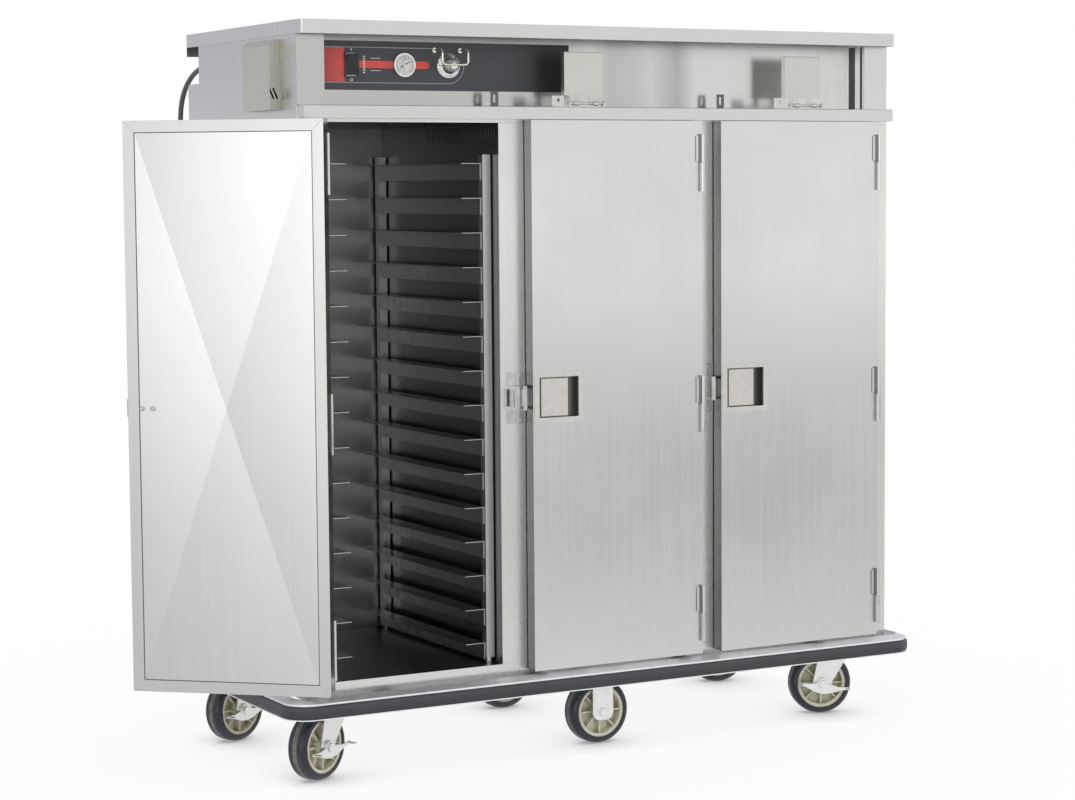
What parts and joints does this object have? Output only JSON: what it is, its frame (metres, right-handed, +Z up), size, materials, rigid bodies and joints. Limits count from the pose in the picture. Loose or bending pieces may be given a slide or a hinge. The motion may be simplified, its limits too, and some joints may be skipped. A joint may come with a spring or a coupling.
{
  "type": "enclosed meal tray cart",
  "caption": "Enclosed insulated meal tray cart with side-by-side hinged doors, paddle latches, tray slides, header controls, full bumper and swivel casters.",
  "frame": {"origin": "on the floor, below the middle of the cabinet", "axes": "+X along the front towards the right-hand end, +Y from the doors to the back, +Z up"},
  "size_m": [1.9183, 0.9779, 1.66],
  "materials": {
    "stainless": "brushed stainless sheet, directional grain",
    "liner_steel": "stainless inner lining, in shade",
    "door_inner": "bright mill-finish stainless",
    "base_steel": "plain grey steel",
    "rack_steel": "satin stainless",
    "bright_steel": "polished stainless",
    "panel_black": "printed overlay, satin black",
    "gauge_chrome": "chrome bezel with a white dial",
    "knob_metal": "spun aluminium with a black grip",
    "rocker_black": "moulded switch",
    "latch_metal": "satin cast metal",
    "bumper_rubber": "extruded bumper strip",
    "cord_grey": "cord jacket",
    "plug_grey": "moulded plug with brass blades",
    "zinc_steel": "zinc-plated pressings",
    "tyre_rubber": "dark non-marking tread",
    "hub_plastic": "moulded hub, cream to olive"
  },
  "bodies": {
    "cabinet": {"face_frame": "stainless", "cabinet_skins": "stainless", "compartment_liners": "liner_steel", "roof_cap": "stainless", "header_ledge": "stainless", "recess_walls": "stainless", "base_frame": "base_steel", "door_hardware": "bright_steel", "tray_racks": "rack_steel", "control_panel": "panel_black", "thermometer": "gauge_chrome", "knob_guard": "bright_steel", "transport_brackets": "bright_steel", "vent_cover": "stainless", "bumper_rail": "bright_steel", "bumper_strip_rubber": "bumper_rubber", "cord_gland": "cord_grey", "power_cord": "cord_grey", "cord_coil": "cord_grey", "cord_plug": "plug_grey", "rigid_forks": "zinc_steel"},
    "left_door": {"left_door_pan": "stainless", "left_door_liner": "door_inner", "left_latch_housing": "latch_metal"},
    "left_paddle": {"left_latch_paddle": "latch_metal"},
    "left_bolt": {"left_latch_bolt": "latch_metal"},
    "middle_door": {"middle_door_pan": "stainless", "middle_door_liner": "door_inner", "middle_latch_housing": "latch_metal"},
    "middle_paddle": {"middle_latch_paddle": "latch_metal"},
    "middle_bolt": {"middle_latch_bolt": "latch_metal"},
    "right_door": {"right_door_pan": "stainless", "right_door_liner": "door_inner", "right_latch_housing": "latch_metal"},
    "right_paddle": {"right_latch_paddle": "latch_metal"},
    "right_bolt": {"right_latch_bolt": "latch_metal"},
    "left_flip": {"left_flip_plate": "stainless"},
    "right_flip": {"right_flip_plate": "stainless"},
    "knob": {"thermostat_knob": "knob_metal"},
    "rocker": {"power_rocker": "rocker_black"},
    "front_left_caster": {"front_left_fork": "zinc_steel"},
    "front_left_wheel": {"front_left_tyre": "tyre_rubber", "front_left_hub": "hub_plastic"},
    "front_left_brake": {"front_left_pedal": "zinc_steel"},
    "front_right_caster": {"front_right_fork": "zinc_steel"},
    "front_right_wheel": {"front_right_tyre": "tyre_rubber", "front_right_hub": "hub_plastic"},
    "front_right_brake": {"front_right_pedal": "zinc_steel"},
    "rear_left_caster": {"rear_left_fork": "zinc_steel"},
    "rear_left_wheel": {"rear_left_tyre": "tyre_rubber", "rear_left_hub": "hub_plastic"},
    "rear_left_brake": {"rear_left_pedal": "zinc_steel"},
    "rear_right_caster": {"rear_right_fork": "zinc_steel"},
    "rear_right_wheel": {"rear_right_tyre": "tyre_rubber", "rear_right_hub": "hub_plastic"},
    "rear_right_brake": {"rear_right_pedal": "zinc_steel"},
    "front_middle_wheel": {"front_middle_tyre": "tyre_rubber", "front_middle_hub": "hub_plastic"},
    "rear_middle_wheel": {"rear_middle_tyre": "tyre_rubber", "rear_middle_hub": "hub_plastic"}
  },
  "joints": [
    {"name": "left_door_swing", "type": "hinge", "parent": "cabinet", "child": "left_door", "pos_m": [-0.724, -0.356, 0.828], "axis": [0, 0, 1], "range_deg": [-2, 221]},
    {"name": "left_paddle_pull", "type": "hinge", "parent": "left_door", "child": "left_paddle", "pos_m": [-1.05112, -0.08754, 0.828], "axis": [0, 0, 1], "range_deg": [0, 35], "stiffness_Nm_per_rad": 0.4, "springref_deg": -11.46},
    {"name": "left_bolt_slide", "type": "slide", "parent": "left_door", "child": "left_bolt", "axis": [0.7547, -0.6561, 0], "range_m": [0, 0.0051]},
    {"name": "middle_door_swing", "type": "hinge", "parent": "cabinet", "child": "middle_door", "pos_m": [0.222, -0.356, 0.828], "axis": [0, 0, 1], "range_deg": [0, 175]},
    {"name": "middle_paddle_pull", "type": "hinge", "parent": "middle_door", "child": "middle_paddle", "pos_m": [-0.201, -0.344, 0.828], "axis": [0, 0, -1], "range_deg": [0, 35], "stiffness_Nm_per_rad": 0.4, "springref_deg": -11.46},
    {"name": "middle_bolt_slide", "type": "slide", "parent": "middle_door", "child": "middle_bolt", "axis": [1, 0, 0], "range_m": [0, 0.0051]},
    {"name": "right_door_swing", "type": "hinge", "parent": "cabinet", "child": "right_door", "pos_m": [0.724, -0.356, 0.828], "axis": [0, 0, 1], "range_deg": [0, 221]},
    {"name": "right_paddle_pull", "type": "hinge", "parent": "right_door", "child": "right_paddle", "pos_m": [0.301, -0.344, 0.828], "axis": [0, 0, -1], "range_deg": [0, 35], "stiffness_Nm_per_rad": 0.4, "springref_deg": -11.46},
    {"name": "right_bolt_slide", "type": "slide", "parent": "right_door", "child": "right_bolt", "axis": [1, 0, 0], "range_m": [0, 0.0051]},
    {"name": "left_flip_fold", "type": "hinge", "parent": "cabinet", "child": "left_flip", "pos_m": [-0.071, -0.336, 1.487], "axis": [1, 0, 0], "range_deg": [0, 178]},
    {"name": "right_flip_fold", "type": "hinge", "parent": "cabinet", "child": "right_flip", "pos_m": [0.528, -0.336, 1.487], "axis": [1, 0, 0], "range_deg": [0, 178]},
    {"name": "thermostat_turn", "type": "hinge", "parent": "cabinet", "child": "knob", "pos_m": [-0.375, -0.241, 1.5705], "axis": [0, -1, 0], "range_deg": [0, 270]},
    {"name": "rocker_tip", "type": "hinge", "parent": "cabinet", "child": "rocker", "pos_m": [-0.612, -0.241, 1.5705], "axis": [-1, 0, 0], "range_deg": [0, 12]},
    {"name": "front_left_swivel", "type": "hinge", "parent": "cabinet", "child": "front_left_caster", "pos_m": [-0.686, -0.235, 0.17], "axis": [0, 0, 1], "continuous": true},
    {"name": "front_left_spin", "type": "hinge", "parent": "front_left_caster", "child": "front_left_wheel", "pos_m": [-0.72375, -0.25341, 0.076], "axis": [-0.4384, 0.8988, 0], "continuous": true},
    {"name": "front_left_brake_press", "type": "hinge", "parent": "front_left_caster", "child": "front_left_brake", "pos_m": [-0.72375, -0.25341, 0.076], "axis": [-0.4384, 0.8988, 0], "range_deg": [0, 12]},
    {"name": "front_right_swivel", "type": "hinge", "parent": "cabinet", "child": "front_right_caster", "pos_m": [0.686, -0.235, 0.17], "axis": [0, 0, 1], "continuous": true},
    {"name": "front_right_spin", "type": "hinge", "parent": "front_right_caster", "child": "front_right_wheel", "pos_m": [0.64653, -0.22063, 0.076], "axis": [0.342, 0.9397, 0], "continuous": true},
    {"name": "front_right_brake_press", "type": "hinge", "parent": "front_right_caster", "child": "front_right_brake", "pos_m": [0.64653, -0.22063, 0.076], "axis": [0.342, 0.9397, 0], "range_deg": [-12, 0]},
    {"name": "rear_left_swivel", "type": "hinge", "parent": "cabinet", "child": "rear_left_caster", "pos_m": [-0.686, 0.235, 0.17], "axis": [0, 0, 1], "continuous": true},
    {"name": "rear_left_spin", "type": "hinge", "parent": "rear_left_caster", "child": "rear_left_wheel", "pos_m": [-0.72521, 0.21995, 0.076], "axis": [-0.3584, 0.9336, 0], "continuous": true},
    {"name": "rear_left_brake_press", "type": "hinge", "parent": "rear_left_caster", "child": "rear_left_brake", "pos_m": [-0.72521, 0.21995, 0.076], "axis": [-0.3584, 0.9336, 0], "range_deg": [0, 12]},
    {"name": "rear_right_swivel", "type": "hinge", "parent": "cabinet", "child": "rear_right_caster", "pos_m": [0.686, 0.235, 0.17], "axis": [0, 0, 1], "continuous": true},
    {"name": "rear_right_spin", "type": "hinge", "parent": "rear_right_caster", "child": "rear_right_wheel", "pos_m": [0.64653, 0.24937, 0.076], "axis": [0.342, 0.9397, 0], "continuous": true},
    {"name": "rear_right_brake_press", "type": "hinge", "parent": "rear_right_caster", "child": "rear_right_brake", "pos_m": [0.64653, 0.24937, 0.076], "axis": [0.342, 0.9397, 0], "range_deg": [0, 12]},
    {"name": "front_middle_spin", "type": "hinge", "parent": "cabinet", "child": "front_middle_wheel", "pos_m": [0, -0.235, 0.076], "axis": [0, 1, 0], "continuous": true},
    {"name": "rear_middle_spin", "type": "hinge", "parent": "cabinet", "child": "rear_middle_wheel", "pos_m": [0, 0.235, 0.076], "axis": [0, 1, 0], "continuous": true}
  ],
  "couplings": [
    {"joint": "left_bolt_slide", "follows": "left_paddle_pull", "m_per_rad": 0.0081},
    {"joint": "middle_bolt_slide", "follows": "middle_paddle_pull", "m_per_rad": 0.0081},
    {"joint": "right_bolt_slide", "follows": "right_paddle_pull", "m_per_rad": 0.0081}
  ]
}
